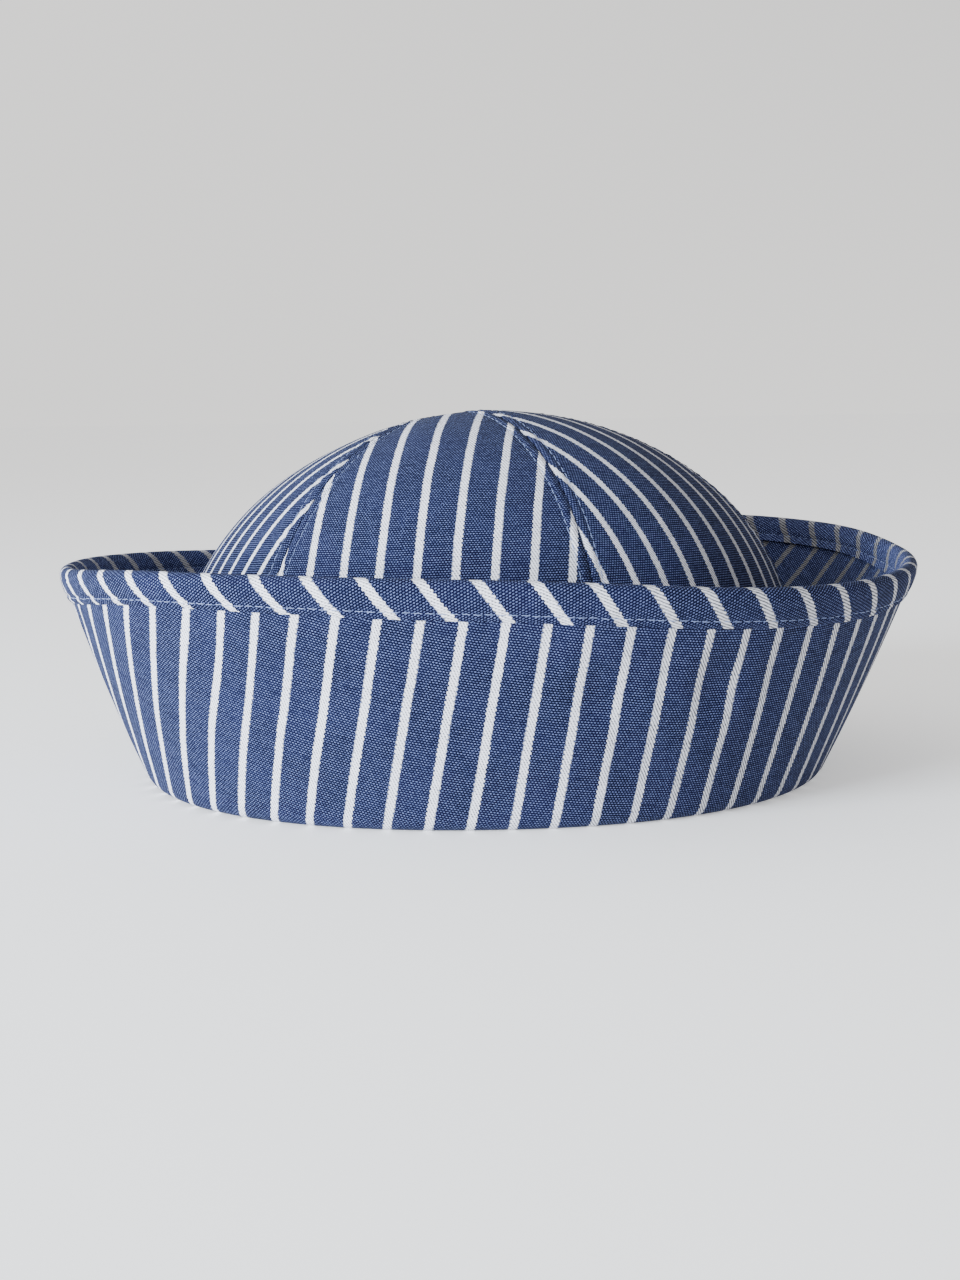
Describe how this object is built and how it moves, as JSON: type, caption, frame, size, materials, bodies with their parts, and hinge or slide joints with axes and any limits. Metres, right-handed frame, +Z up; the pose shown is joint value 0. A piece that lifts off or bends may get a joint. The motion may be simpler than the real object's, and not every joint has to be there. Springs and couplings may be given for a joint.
{
  "type": "sailor cap",
  "caption": "Round sailor cap in blue cotton with fine white stripes: a gored crown inside a tall turned-up brim with a bias-bound rim.",
  "frame": {"origin": "on the surface that the cap stands on, under the middle of its outline seen from above", "axes": "+Z up through the crown, -Y to the front, +X to the right of someone who looks at the front"},
  "size_m": [0.2564, 0.2332, 0.1094],
  "materials": {
    "striped_cloth": "matt plain-weave cotton, blue with fine white stripes",
    "bias_strip": "the same cotton cut on the bias, stitched near its edge"
  },
  "bodies": {
    "root": {"crown_panel_1": "striped_cloth", "crown_panel_2": "striped_cloth", "crown_panel_3": "striped_cloth", "crown_panel_4": "striped_cloth", "crown_panel_5": "striped_cloth", "crown_panel_6": "striped_cloth", "brim_outer": "striped_cloth", "brim_inner": "striped_cloth", "rim_binding": "bias_strip"}
  },
  "joints": []
}
